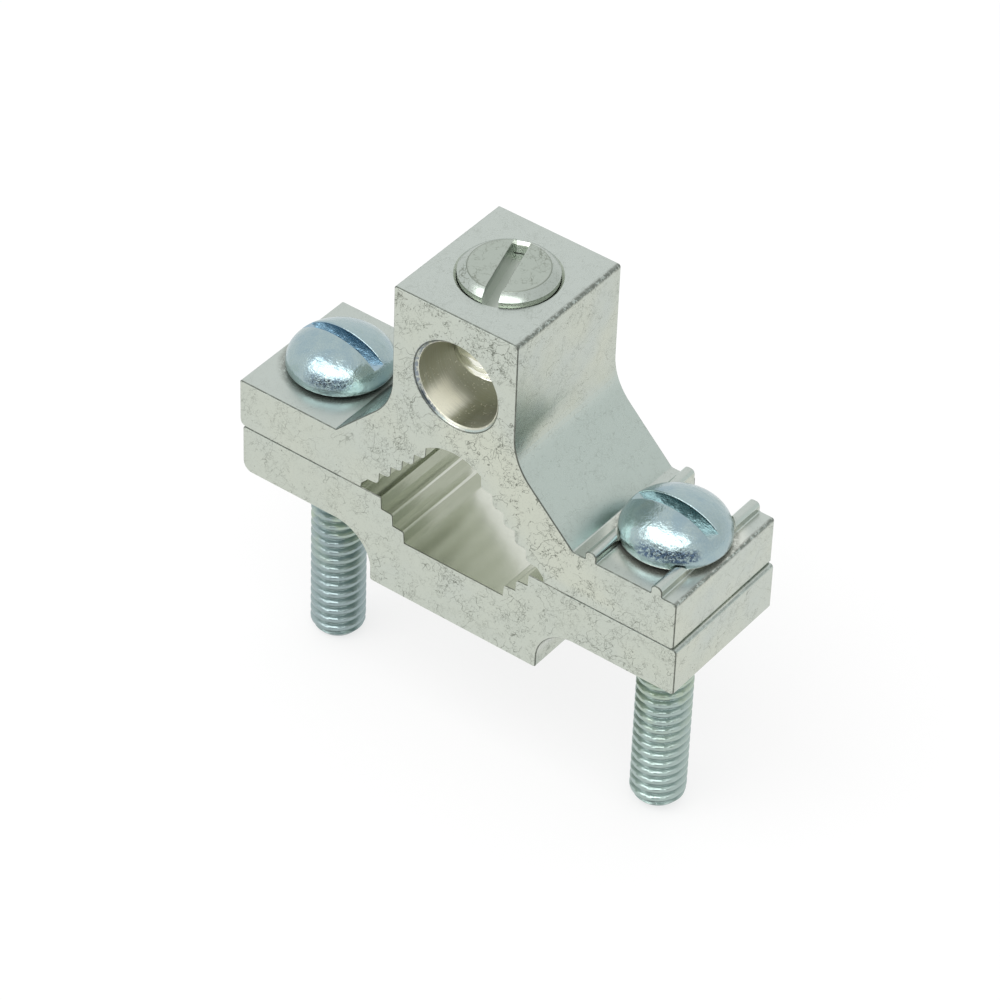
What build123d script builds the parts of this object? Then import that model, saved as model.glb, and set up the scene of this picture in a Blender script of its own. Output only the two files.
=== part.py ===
from build123d import *
import math
import os

os.makedirs("parts", exist_ok=True)

# Millimetres. X runs along the clamp, Y along the extruded depth, Z up.
# The jaws meet on the plane Z = 0, on the middle of the pipe opening.

# Both jaws
JAW_LENGTH = 58.7
JAW_DEPTH = 18.0
EDGE_BREAK = 0.12
HALF_LENGTH = JAW_LENGTH / 2
HALF_DEPTH = JAW_DEPTH / 2

# Upper jaw flanges
UPPER_FLANGE = 6.3
UPPER_TOP_ROUND = 0.3
UPPER_FOOT_ROUND = 0.8
PARTING_ROUND = 0.45

# Conductor lug standing on the upper jaw
LUG_WIDTH = 16.2
LUG_SHIFT = -0.25
LUG_HEIGHT = 29.8
LUG_TOP_ROUND = 0.35
SLOPE_TO_RIB = 1.6
SLOPE_FOOT_ROUND = 0.3
SLOPE_BLEND = 7.6

# Conductor bore, drilled through the lug along Y
BORE_Z = 20.45
BORE_DIAMETER = 10.4
BORE_CHAMFER = 0.45

# Tapped hole of the conductor screw, from the top of the lug
TAPPED_DIAMETER = 11.12
TAPPED_BOTTOM_Z = 18.9
TAPPED_MOUTH = 0.3
TAPPED_BACK = 0.15

# Clamp screw places and their holes in the upper jaw
HOLE_TO_END = 6.85
CLEARANCE_DIAMETER = 7.1
SCREW_SPREAD = 0.2
SCREW_SHIFT = 0.2

# Two ribs either side of the open slot in the right flange
RIB_HEIGHT = 1.15
RIB_WIDTH = 1.4
RIB_ROUND = 0.6
RIB_FOOT_ROUND = 0.15
RIB_SEAT_HEIGHT = 0.55
RIB_SEAT_DIAMETER = 12.8

# Serrated upper vee: steps climb inwards from the lip to the apex
UPPER_LIP_X = 12.45
UPPER_FIRST_ROOT = (11.45, 1.65)
UPPER_STEP_X = 1.55
UPPER_STEP_Z = 1.70
UPPER_STEPS = 5
LIP_HEIGHT = 0.65
LIP_ROUND = 0.2
TOOTH_ROUND = 0.6
TOOTH_DRAFT = 0.1
APEX_Z = 12.55
APEX_ROUND = 6.0

# Lower jaw
LOWER_SHIFT = 0.4
LOWER_FLANGE = 6.25
LOWER_LEFT_ROUND = 1.3
LOWER_RIGHT_ROUND = 0.45
TROUGH_WIDTH = 22.8
TROUGH_BOTTOM_Z = 12.6
TROUGH_BLEND = 4.9
TROUGH_CORNER = 0.35
LOWER_LIP_X = 10.05
LOWER_STEP_X = 1.6
LOWER_STEP_Z = 1.6
LOWER_STEPS = 3
LOWER_TOOTH_ROUND = 0.3

# Clamp screws, a quarter inch with twenty threads to the inch
THREAD_DIAMETER = 6.35
SCREW_LENGTH = 38.1
TIP_CHAMFER = 0.8
TIP_CHAMFER_LENGTH = 1.0
HEAD_DIAMETER = 12.4
HEAD_SEAT_DIAMETER = 10.4
HEAD_UNDERCUT = 0.3
HEAD_RIM_HEIGHT = 0.65
HEAD_DOME_HEIGHT = 3.75
HEAD_SLOT_WIDTH = 1.4
HEAD_SLOT_DEPTH = 1.9
LEFT_SLOT_TURN = -4.0
LEFT_SLOT_BACK = 0.2
RIGHT_SLOT_TURN = -1.0
RIGHT_SLOT_BACK = -0.33

# Conductor screw, seven sixteenths of an inch, headless and slotted
SET_DIAMETER = 11.0
SET_TOP_Z = 30.95
SET_LENGTH = 11.95
SET_TOP_FLAT_DIAMETER = 8.9
SET_TOP_CHAMFER_HEIGHT = 0.75
SET_END_DIAMETER = 9.9
SET_END_CHAMFER_HEIGHT = 0.6
SET_SLOT_WIDTH = 1.85
SET_SLOT_DEPTH = 2.6
SET_SLOT_TURN = -72.7
SET_SLOT_SIDE = -0.15

# Play around every thread, modelled as plain cylinders
THREAD_PLAY = 0.06

LEFT_HOLE_X = HOLE_TO_END - HALF_LENGTH
RIGHT_HOLE_X = HALF_LENGTH - HOLE_TO_END
SLOT_INNER_X = RIGHT_HOLE_X - CLEARANCE_DIAMETER / 2
SLOT_OUTER_X = RIGHT_HOLE_X + CLEARANCE_DIAMETER / 2
SLOPE_FOOT_X = SLOT_INNER_X - RIB_WIDTH - SLOPE_TO_RIB
LUG_LEFT_X = LUG_SHIFT - LUG_WIDTH / 2
LUG_RIGHT_X = LUG_SHIFT + LUG_WIDTH / 2
LEFT_SLOPE_TOP_Z = UPPER_FLANGE + SLOPE_FOOT_X + LUG_LEFT_X
RIGHT_SLOPE_TOP_Z = UPPER_FLANGE + SLOPE_FOOT_X - LUG_RIGHT_X
TAPPED_X = LUG_SHIFT
TAPPED_Y = TAPPED_BACK
LEFT_SCREW_X = LEFT_HOLE_X - SCREW_SPREAD / 2 + SCREW_SHIFT
RIGHT_SCREW_X = RIGHT_HOLE_X + SCREW_SPREAD / 2 + SCREW_SHIFT
LEFT_HEAD_Z = UPPER_FLANGE
RIGHT_HEAD_Z = UPPER_FLANGE + RIB_SEAT_HEIGHT


def unit(start, end):
    # Direction from start to end and the distance between them.
    dx = end[0] - start[0]
    dz = end[1] - start[1]
    length = math.hypot(dx, dz)
    return dx / length, dz / length, length


def corner_arc(before, corner, after, radius):
    # Tangent points and middle of the arc that rounds one corner.
    ax, az, _ = unit(corner, before)
    bx, bz, _ = unit(corner, after)
    half = math.acos(max(-1.0, min(1.0, ax * bx + az * bz))) / 2
    reach = radius / math.tan(half)
    mx, mz, _ = unit((0, 0), (ax + bx, az + bz))
    rise = radius / math.sin(half) - radius
    start = (corner[0] + ax * reach, corner[1] + az * reach)
    middle = (corner[0] + mx * rise, corner[1] + mz * rise)
    end = (corner[0] + bx * reach, corner[1] + bz * reach)
    return start, middle, end


def outline_edges(corners):
    # Lines and arcs through corners given as (x, z, radius).
    count = len(corners)
    arcs = []
    for i, (x, z, radius) in enumerate(corners):
        if radius <= 0:
            arcs.append(((x, z), None, (x, z)))
            continue
        before = corners[i - 1]
        after = corners[(i + 1) % count]
        arcs.append(corner_arc(before, (x, z), after, radius))
    edges = []
    for i, (start, middle, end) in enumerate(arcs):
        if middle is not None:
            edges.append(ThreePointArc(start, middle, end))
        following = arcs[(i + 1) % count][0]
        if unit(end, following)[2] > 1e-6:
            edges.append(Line(end, following))
    return edges


def extruded(corners):
    # Closed outline in X and Z, extruded evenly either side of mid depth.
    face = make_face(Wire(outline_edges(corners)))
    upright = Plane.XZ * face
    return extrude(upright, amount=HALF_DEPTH, both=True)


def broken_edges(body, inside):
    # Tumbled edges around the two sawn faces, leaving the vee crisp.
    sawn = body.edges().filter_by_position(Axis.Y, -HALF_DEPTH, -HALF_DEPTH)
    sawn += body.edges().filter_by_position(Axis.Y, HALF_DEPTH, HALF_DEPTH)
    outer = [edge for edge in sawn if not inside(edge.center())]
    return chamfer(outer, EDGE_BREAK)


def in_upper_vee(point):
    return abs(point.X) < UPPER_LIP_X + 0.1 and 0.01 < point.Z < APEX_Z


def in_lower_vee(point):
    return abs(point.X) < LOWER_LIP_X + 0.1 and -LOWER_FLANGE < point.Z < -0.01


def mirrored(corners):
    # The same corners on the other side of the middle, in reverse order.
    return [(-x, z, radius) for x, z, radius in reversed(corners)]


def upper_teeth():
    # Right flank of the upper vee, from the lip up to the last root.
    root_x, root_z = UPPER_FIRST_ROOT
    corners = [(UPPER_LIP_X, 0.0, 0.0)]
    corners.append((UPPER_LIP_X - TOOTH_DRAFT, LIP_HEIGHT, LIP_ROUND))
    for step in range(UPPER_STEPS + 1):
        x = root_x - UPPER_STEP_X * step
        z = root_z + UPPER_STEP_Z * step
        corners.append((x, z, 0.0))
        if step < UPPER_STEPS:
            tip_x = x - UPPER_STEP_X + TOOTH_DRAFT
            corners.append((tip_x, z + TOOTH_DRAFT, TOOTH_ROUND))
    return corners


def rib_corners(inner_x, outer_x):
    # One rib seen end on, from its inner foot to its outer foot.
    top = UPPER_FLANGE + RIB_HEIGHT
    return [
        (inner_x, UPPER_FLANGE, RIB_FOOT_ROUND),
        (inner_x, top, RIB_ROUND),
        (outer_x, top, RIB_ROUND),
        (outer_x, UPPER_FLANGE, RIB_FOOT_ROUND),
    ]


def upper_outline():
    # Flanges, lug, ribs and the serrated vee of the upper jaw.
    corners = [
        (-HALF_LENGTH, 0.0, UPPER_FOOT_ROUND),
        (-HALF_LENGTH, UPPER_FLANGE, UPPER_TOP_ROUND),
        (-SLOPE_FOOT_X, UPPER_FLANGE, SLOPE_FOOT_ROUND),
        (LUG_LEFT_X, LEFT_SLOPE_TOP_Z, SLOPE_BLEND),
        (LUG_LEFT_X, LUG_HEIGHT, LUG_TOP_ROUND),
        (LUG_RIGHT_X, LUG_HEIGHT, LUG_TOP_ROUND),
        (LUG_RIGHT_X, RIGHT_SLOPE_TOP_Z, SLOPE_BLEND),
        (SLOPE_FOOT_X, UPPER_FLANGE, SLOPE_FOOT_ROUND),
    ]
    corners += rib_corners(SLOT_INNER_X - RIB_WIDTH, SLOT_INNER_X)
    corners += rib_corners(SLOT_OUTER_X, SLOT_OUTER_X + RIB_WIDTH)
    corners += [
        (HALF_LENGTH, UPPER_FLANGE, UPPER_TOP_ROUND),
        (HALF_LENGTH, 0.0, PARTING_ROUND),
    ]
    teeth = upper_teeth()
    corners += teeth
    corners.append((0.0, APEX_Z, APEX_ROUND))
    corners += mirrored(teeth)
    return corners


def bore_cutter():
    # Conductor bore with a broken mouth at both ends.
    radius = BORE_DIAMETER / 2
    drill = Cylinder(radius, JAW_DEPTH + 2, rotation=(90, 0, 0))
    cutter = Pos(0, 0, BORE_Z) * drill
    mouth = radius + BORE_CHAMFER
    for side in (-1, 1):
        cone = Cone(mouth + 0.5, radius, BORE_CHAMFER + 0.5)
        tilt = Rotation(90 * side, 0, 0)
        y = side * (HALF_DEPTH - (BORE_CHAMFER - 0.5) / 2)
        cutter += Pos(0, y, BORE_Z) * (tilt * cone)
    return cutter


def tapped_cutter():
    # Hole of the conductor screw with a small countersunk mouth.
    radius = TAPPED_DIAMETER / 2
    depth = LUG_HEIGHT - TAPPED_BOTTOM_Z
    hole = Pos(0, 0, TAPPED_BOTTOM_Z + depth / 2 + 0.5) * Cylinder(radius, depth + 1)
    cone = Cone(radius, radius + TAPPED_MOUTH + 0.2, TAPPED_MOUTH + 0.2)
    hole += Pos(0, 0, LUG_HEIGHT + (0.2 - TAPPED_MOUTH) / 2) * cone
    return Pos(TAPPED_X, TAPPED_Y, 0) * hole


def slot_cutter():
    # Slot of the right screw, open to the back face.
    radius = CLEARANCE_DIAMETER / 2
    height = UPPER_FLANGE + RIB_HEIGHT + 2
    round_end = Cylinder(radius, height)
    run = HALF_DEPTH + 1
    channel = Pos(0, run / 2, 0) * Box(2 * radius, run, height)
    return Pos(RIGHT_HOLE_X, 0, height / 2 - 1) * (round_end + channel)


def seat_cutter():
    # Round seat for the right screw head, sunk part way into both ribs.
    height = RIB_HEIGHT - RIB_SEAT_HEIGHT + 1
    place = Pos(RIGHT_SCREW_X, 0, RIGHT_HEAD_Z + height / 2)
    return place * Cylinder(RIB_SEAT_DIAMETER / 2, height)


def upper_jaw():
    body = broken_edges(extruded(upper_outline()), in_upper_vee)
    body -= bore_cutter()
    body -= tapped_cutter()
    hole = Cylinder(CLEARANCE_DIAMETER / 2, 2 * UPPER_FLANGE + 2)
    body -= Pos(LEFT_HOLE_X, 0, UPPER_FLANGE / 2) * hole
    body -= slot_cutter()
    body -= seat_cutter()
    return body


def lower_teeth():
    # Right flank of the lower vee, from the floor up to the lip.
    corners = []
    for step in range(LOWER_STEPS, 0, -1):
        x = LOWER_LIP_X - LOWER_STEP_X * (step - 1)
        z = -LOWER_STEP_Z * step
        corners.append((x - TOOTH_DRAFT, z, 0.0))
        if step > 1:
            corners.append((x, z + LOWER_STEP_Z - TOOTH_DRAFT, LOWER_TOOTH_ROUND))
    corners.append((LOWER_LIP_X, 0.0, 0.0))
    return corners


def lower_side(end_round):
    # Right half of the lower jaw: teeth, flange and trough wall.
    half_trough = TROUGH_WIDTH / 2
    return lower_teeth() + [
        (HALF_LENGTH, 0.0, PARTING_ROUND),
        (HALF_LENGTH, -LOWER_FLANGE, end_round),
        (half_trough, -LOWER_FLANGE, TROUGH_BLEND),
        (half_trough, -TROUGH_BOTTOM_Z, TROUGH_CORNER),
    ]


def lower_outline():
    # Flanges, vee and trough of the lower jaw about its own middle.
    return lower_side(LOWER_RIGHT_ROUND) + mirrored(lower_side(LOWER_LEFT_ROUND))


def lower_jaw():
    body = broken_edges(extruded(lower_outline()), in_lower_vee)
    body = Pos(LOWER_SHIFT, 0, 0) * body
    radius = THREAD_DIAMETER / 2 + THREAD_PLAY
    hole = Cylinder(radius, 2 * LOWER_FLANGE + 2)
    body -= Pos(LEFT_SCREW_X, 0, -LOWER_FLANGE) * hole
    body -= Pos(RIGHT_SCREW_X, 0, -LOWER_FLANGE) * hole
    return body


def screw_profile():
    # Half section of a clamp screw, seat of the head at height zero.
    shank = THREAD_DIAMETER / 2
    rim = HEAD_DIAMETER / 2
    seat = HEAD_SEAT_DIAMETER / 2
    tip = shank - TIP_CHAMFER
    chamfer_z = TIP_CHAMFER_LENGTH - SCREW_LENGTH
    top = HEAD_RIM_HEIGHT + HEAD_DOME_HEIGHT
    centre = (0, HEAD_RIM_HEIGHT)
    dome = EllipticalCenterArc(centre, rim, HEAD_DOME_HEIGHT, arc_size=90)
    below = Polyline(
        (0, top),
        (0, -SCREW_LENGTH),
        (tip, -SCREW_LENGTH),
        (shank, chamfer_z),
        (shank, 0),
        (seat, 0),
        (rim, HEAD_UNDERCUT),
        (rim, HEAD_RIM_HEIGHT),
    )
    return make_face([*below.edges(), *dome.edges()])


def clamp_screw(x, seat_z, slot_turn, slot_back):
    # Domed screw with a driver slot across the head, a little off its middle.
    body = revolve(Plane.XZ * screw_profile(), Axis.Z)
    top = HEAD_RIM_HEIGHT + HEAD_DOME_HEIGHT
    blade = Box(HEAD_DIAMETER + 2, HEAD_SLOT_WIDTH, HEAD_SLOT_DEPTH + 1)
    slot = Pos(0, slot_back, top - HEAD_SLOT_DEPTH / 2 + 0.5) * blade
    body -= Rotation(0, 0, slot_turn) * slot
    return Pos(x, 0, seat_z) * body


def conductor_screw():
    # Headless screw with a chamfered top, a chamfered end and a slot.
    radius = SET_DIAMETER / 2
    top_flat = SET_TOP_FLAT_DIAMETER / 2
    end = SET_END_DIAMETER / 2
    profile = Polyline(
        (0, 0),
        (top_flat, 0),
        (radius, -SET_TOP_CHAMFER_HEIGHT),
        (radius, SET_END_CHAMFER_HEIGHT - SET_LENGTH),
        (end, -SET_LENGTH),
        (0, -SET_LENGTH),
        close=True,
    )
    body = revolve(Plane.XZ * make_face(profile), Axis.Z)
    blade = Box(SET_DIAMETER + 2, SET_SLOT_WIDTH, 2 * SET_SLOT_DEPTH)
    body -= Rotation(0, 0, SET_SLOT_TURN) * (Pos(0, SET_SLOT_SIDE, 0) * blade)
    return Pos(TAPPED_X, TAPPED_Y, SET_TOP_Z) * body


PIECES = {
    "upper_jaw": upper_jaw(),
    "lower_jaw": lower_jaw(),
    "clamp_screw_left": clamp_screw(
        LEFT_SCREW_X, LEFT_HEAD_Z, LEFT_SLOT_TURN, LEFT_SLOT_BACK
    ),
    "clamp_screw_right": clamp_screw(
        RIGHT_SCREW_X, RIGHT_HEAD_Z, RIGHT_SLOT_TURN, RIGHT_SLOT_BACK
    ),
    "conductor_screw": conductor_screw(),
}

for name, piece in PIECES.items():
    export_step(piece, f"parts/{name}.step")
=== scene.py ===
"""Looks of a pipe grounding clamp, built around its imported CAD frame.

Lengths in the classes are millimetres in the frame of the part; meshes are written in metres.
X runs along the clamp, Y along the extruded depth and Z up, with the jaws meeting on Z = 0.
"""

import logging
import math
from abc import ABC, abstractmethod
from dataclasses import dataclass, field
from enum import Enum
from typing import Any, Sequence

import bmesh
import bpy
import numpy as np
from mathutils import Matrix, Vector


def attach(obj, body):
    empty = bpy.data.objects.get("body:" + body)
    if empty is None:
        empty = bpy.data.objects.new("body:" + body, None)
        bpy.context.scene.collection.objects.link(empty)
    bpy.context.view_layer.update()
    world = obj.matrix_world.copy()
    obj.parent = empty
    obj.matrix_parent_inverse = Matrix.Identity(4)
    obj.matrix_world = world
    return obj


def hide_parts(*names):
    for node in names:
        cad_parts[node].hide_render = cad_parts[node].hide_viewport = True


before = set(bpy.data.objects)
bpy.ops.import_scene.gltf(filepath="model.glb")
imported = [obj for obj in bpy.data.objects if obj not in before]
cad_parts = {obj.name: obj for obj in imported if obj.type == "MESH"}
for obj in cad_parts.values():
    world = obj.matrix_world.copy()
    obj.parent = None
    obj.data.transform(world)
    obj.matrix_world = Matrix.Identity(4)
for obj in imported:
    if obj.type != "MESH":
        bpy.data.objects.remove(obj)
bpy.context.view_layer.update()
LOG = logging.getLogger("clamp")
MM = 0.001
Grid = np.ndarray
Pair = tuple[float, float]
Span = Pair
Triple = tuple[float, float, float]
Colour = Triple


# Mesh building


def ellipse_height(radius: Grid, reach: float, rise: float) -> Grid:
    """Height of a quarter ellipse: rise times the root of one minus (radius / reach) squared.

    Args:
        radius: Distances from the axis.
        reach: Half width of the ellipse.
        rise: Its height on the axis.

    Returns:
        The height at each distance.
    """
    return rise * np.sqrt(np.clip(1.0 - (radius / reach) ** 2, 0.0, 1.0))


def smooth_step(low: float, high: float, value: Grid) -> Grid:
    """Rise from 0 at low to 1 at high along the cubic 3t squared minus 2t cubed."""
    t = np.clip((value - low) / (high - low), 0.0, 1.0)
    return t * t * (3.0 - 2.0 * t)


def add_object(name: str, data: bpy.types.ID) -> bpy.types.Object:
    """Put a new object into the scene, at the origin.

    Args:
        name: Its name.
        data: Its mesh, light or camera.

    Returns:
        The object.
    """
    made = bpy.data.objects.new(name, data)
    bpy.context.scene.collection.objects.link(made)
    return made


def around(turn: Grid, radius: Grid, height: Grid) -> Grid:
    """Points at a radius and a height on every turn about the axis."""
    return np.stack([radius * np.cos(turn), radius * np.sin(turn), height + 0.0 * turn], axis=-1)


@dataclass
class MeshStock:
    """Collects grids of points and turns them into one closed Blender mesh."""

    points: list[Grid] = field(default_factory=list)
    faces: list[Grid] = field(default_factory=list)
    count: int = 0

    def add_grid(self, grid: Grid, wrap: bool = False) -> None:
        """Add a grid of points as quads between neighbouring rows and columns.

        Args:
            grid: Array of rows by columns by three coordinates.
            wrap: Whether the last column joins the first.
        """
        rows, columns = grid.shape[:2]
        index = np.arange(rows * columns).reshape(rows, columns) + self.count
        if wrap:
            index = np.concatenate([index, index[:, :1]], axis=1)
        a, b = index[:-1, :-1], index[:-1, 1:]
        c, d = index[1:, 1:], index[1:, :-1]
        self.points.append(grid.reshape(-1, 3))
        self.faces.append(np.stack([a, b, c, d], axis=-1).reshape(-1, 4))
        self.count += rows * columns

    def build(self, name: str, place: Vector, turn: float, sharp: float) -> bpy.types.Object:
        """Write the mesh, merge its doubles and put it in place.

        Args:
            name: Name of the object.
            place: Where its own origin goes, in millimetres.
            turn: Turn about Z, in degrees.
            sharp: Edges that turn by more than so many degrees aren't shaded smooth.

        Returns:
            The new object, at the origin with its place in its mesh.
        """
        mesh = bpy.data.meshes.new(name)
        points = np.concatenate(self.points)
        mesh.from_pydata(points.tolist(), [], np.concatenate(self.faces).tolist())
        clean_mesh(mesh)
        turned = Matrix.Rotation(math.radians(turn), 4, "Z")
        mesh.transform(Matrix.Scale(MM, 4) @ Matrix.Translation(place) @ turned)
        mesh.shade_smooth()
        mesh.set_sharp_from_angle(angle=math.radians(sharp))
        return add_object(name, mesh)


def clean_mesh(mesh: bpy.types.Mesh, gap: float = 1e-4) -> None:
    """Merge points closer than gap, drop collapsed faces and point the faces outwards.

    Args:
        mesh: The mesh to clean.
        gap: Merge distance in the mesh's own units.
    """
    shell = bmesh.new()
    shell.from_mesh(mesh)
    bmesh.ops.remove_doubles(shell, verts=shell.verts, dist=gap)
    bmesh.ops.dissolve_degenerate(shell, edges=shell.edges, dist=gap)
    bmesh.ops.recalc_face_normals(shell, faces=shell.faces)
    shell.to_mesh(mesh)
    shell.free()


# Shader maths


class Operation(Enum):
    """What a Math or a Vector Math node works out."""

    ADD = "ADD"
    SUBTRACT = "SUBTRACT"
    MULTIPLY = "MULTIPLY"
    DIVIDE = "DIVIDE"
    POWER = "POWER"
    ABSOLUTE = "ABSOLUTE"
    MINIMUM = "MINIMUM"
    MAXIMUM = "MAXIMUM"
    MULTIPLY_ADD = "MULTIPLY_ADD"
    DOT_PRODUCT = "DOT_PRODUCT"


class Shade:
    """Wraps an output socket, so that maths on it reads as an expression."""

    def __init__(self, bench: "Bench", socket: bpy.types.NodeSocket) -> None:
        """Keep the socket and the bench that its maths nodes go to."""
        self.bench = bench
        self.socket = socket

    def _math(self, operation: Operation, first: Any, second: Any = None) -> "Shade":
        """Add one Math node and return its result."""
        values = [first] if second is None else [first, second]
        return self.bench.node("ShaderNodeMath", {"operation": operation.value}, values)

    def __add__(self, other: Any) -> "Shade":
        """Sum of this value and another."""
        return self._math(Operation.ADD, self, other)

    __radd__ = __add__

    def __sub__(self, other: Any) -> "Shade":
        """This value less another."""
        return self._math(Operation.SUBTRACT, self, other)

    def __rsub__(self, other: Any) -> "Shade":
        """Another value less this one."""
        return self._math(Operation.SUBTRACT, other, self)

    def __mul__(self, other: Any) -> "Shade":
        """Product of this value and another."""
        return self._math(Operation.MULTIPLY, self, other)

    __rmul__ = __mul__

    def __truediv__(self, other: Any) -> "Shade":
        """This value divided by another."""
        return self._math(Operation.DIVIDE, self, other)

    def __pow__(self, other: float) -> "Shade":
        """This value raised to a power."""
        return self._math(Operation.POWER, self, other)

    def __abs__(self) -> "Shade":
        """Size of this value without its sign."""
        return self._math(Operation.ABSOLUTE, self)

    def lower(self, other: Any) -> "Shade":
        """The smaller of this value and another."""
        return self._math(Operation.MINIMUM, self, other)

    def upper(self, other: Any) -> "Shade":
        """The larger of this value and another."""
        return self._math(Operation.MAXIMUM, self, other)

    def step(self, low: float, high: float) -> "Shade":
        """Smooth rise from 0 at low to 1 at high, or a fall where low is the larger.

        Args:
            low: Value that gives 0.
            high: Value that gives 1.

        Returns:
            The result, between 0 and 1.
        """
        rising = [self, low, high, 0.0, 1.0]
        falling = [self, high, low, 1.0, 0.0]
        settings = {"interpolation_type": "SMOOTHSTEP"}
        return self.bench.node("ShaderNodeMapRange", settings, rising if low < high else falling)

    def sibling(self, output: int | str) -> "Shade":
        """Another output of the same node."""
        return Shade(self.bench, self.socket.node.outputs[output])


class Bench:
    """Builds one material's or the world's nodes."""

    def __init__(self, tree: bpy.types.NodeTree) -> None:
        """Empty the tree that the nodes go to."""
        self.tree = tree
        tree.nodes.clear()

    def node(
        self, kind: str, settings: dict[str, Any], values: Any, output: int | str = 0
    ) -> Shade:
        """Add a node, set it and fill its sockets.

        Args:
            kind: Blender's node type.
            settings: Attributes that are set first.
            values: Values or links, as a list by place or a dictionary by socket.
            output: Which output is returned.

        Returns:
            The wrapped output.
        """
        made = self.tree.nodes.new(kind)
        for name, value in settings.items():
            setattr(made, name, value)
        pairs = values.items() if isinstance(values, dict) else enumerate(values)
        for key, value in pairs:
            self._feed(made.inputs[key], value)
        return Shade(self, made.outputs[output] if made.outputs else made.inputs[0])

    def _feed(self, socket: bpy.types.NodeSocket, value: Any) -> None:
        """Link a wrapped output to a socket, or set its value.

        Args:
            socket: A socket of a new node.
            value: A wrapped output, a number, a vector or a colour.
        """
        if isinstance(value, Shade):
            self.tree.links.new(value.socket, socket)
        elif socket.type == "RGBA" and len(value) == 3:
            socket.default_value = (*value, 1.0)
        else:
            socket.default_value = value

    def place(self) -> Shade:
        """Object coordinates, in metres."""
        return self.node("ShaderNodeTexCoord", {}, [], "Object")

    def spot(self) -> "Spot":
        """Find the shaded point.

        Returns:
            The point, from its object coordinates.
        """
        place = self.place()
        x, y, z = (part / MM for part in self.split(place))
        return Spot(self, place, x, y, z, abs(y))

    def vector(self, operation: Operation, values: Sequence[Any], output: int = 0) -> Shade:
        """Add one Vector Math node and return its vector, or its number as output 1."""
        return self.node("ShaderNodeVectorMath", {"operation": operation.value}, values, output)

    def mapped(self, vector: Shade, scale: Triple, turn: Triple = (0.0, 0.0, 0.0)) -> Shade:
        """Turn a vector and then scale it.

        Args:
            vector: The vector.
            scale: Factors along X, Y and Z.
            turn: Turns about X, Y and Z, in degrees.

        Returns:
            The turned and scaled vector.
        """
        values = {"Vector": vector, "Rotation": [math.radians(angle) for angle in turn]}
        turned = self.node("ShaderNodeMapping", {"vector_type": "POINT"}, values)
        return self.vector(Operation.MULTIPLY, [turned, scale])

    def reach(self, first: Shade, second: Shade) -> Shade:
        """Length of the hypotenuse over two distances."""
        return (first * first + second * second) ** 0.5

    def noise(self, vector: Shade, grain: "Noise") -> Shade:
        """Add soft noise between 0 and 1.

        Args:
            vector: Coordinates that the waves are counted in.
            grain: Fineness of the noise, and the span that it is stepped over.

        Returns:
            The noise, or its smooth step where it has a span.
        """
        fineness = {"Scale": grain.waves, "Detail": grain.detail, "Roughness": grain.rough}
        made = self.node("ShaderNodeTexNoise", {}, {"Vector": vector, **fineness})
        return made.step(*grain.span) if grain.span else made

    def cells(self, vector: Shade, waves: float, span: Span) -> Shade:
        """Voronoi cells: distance from each one's middle, stepped over a span."""
        values = {"Vector": vector, "Scale": waves}
        return self.node("ShaderNodeTexVoronoi", {}, values, "Distance").step(*span)

    def mix(self, factor: Any, first: Any, second: Any) -> Shade:
        """Mix two colours."""
        settings = {"data_type": "RGBA", "clamp_factor": True}
        return self.node("ShaderNodeMix", settings, {0: factor, 6: first, 7: second}, 2)

    def layered(self, colour: Shade, layers: Sequence[tuple[Any, Any]]) -> Shade:
        """Lay colours over a first one, each by its own mask.

        Args:
            colour: The undermost colour.
            layers: Mask and colour of each layer, from the lowest up.

        Returns:
            The colour that is seen.
        """
        for mask, paint in layers:
            colour = self.mix(mask, colour, paint)
        return colour

    def split(self, vector: Shade) -> tuple[Shade, Shade, Shade]:
        """X, Y and Z of a vector."""
        first = self.node("ShaderNodeSeparateXYZ", {}, [vector])
        return first, first.sibling(1), first.sibling(2)

    def bump(self, height: Shade, strength: float, distance: float) -> Shade:
        """Normal that follows a height; distance is the height of 1 in metres."""
        values = {"Strength": strength, "Distance": distance, "Height": height}
        return self.node("ShaderNodeBump", {}, values)

    def hairlines(self, vector: Shade, scratch: "Scratch") -> Shade:
        """Fine curly scratches: the walls between bent, stretched cells, broken up.

        Args:
            vector: Object coordinates.
            scratch: Size and direction of the scratches.

        Returns:
            A mask that is 1 on the scratches.
        """
        waves = 1.0 / (scratch.pitch * MM)
        along = self.mapped(vector, (waves / scratch.stretch, waves, waves), scratch.turn)
        values = {"Vector": along, "Scale": scratch.waves}
        wave = self.node("ShaderNodeTexNoise", {}, values, "Color")
        bent = self.vector(Operation.MULTIPLY_ADD, [wave, (scratch.curl,) * 3, along])
        values = {"Vector": bent, "Scale": 1.0}
        settings = {"feature": "DISTANCE_TO_EDGE"}
        away = self.node("ShaderNodeTexVoronoi", settings, values, "Distance")
        span = (scratch.share, scratch.share + scratch.fade)
        lengths = self.noise(along, Noise(scratch.breaks, 1.0, span=span))
        width = scratch.width / scratch.pitch
        return away.step(width, width * scratch.core) * lengths


@dataclass(frozen=True)
class Spot:
    """Shaded point: its vector in metres; x, y, z and distance from mid depth in millimetres."""

    bench: Bench
    place: Shade
    x: Shade
    y: Shade
    z: Shade
    depth: Shade

    def noise(self, grain: "Noise") -> Shade:
        """Soft noise in the piece."""
        return self.bench.noise(self.place, grain)

    def from_axis(self, x: float, y: float) -> Shade:
        """Distance from an upright line."""
        return self.bench.reach(self.x - x, self.y - y)

    def from_line(self, x: float, z: float) -> Shade:
        """Distance from a line along Y."""
        return self.bench.reach(self.x - x, self.z - z)


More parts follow.
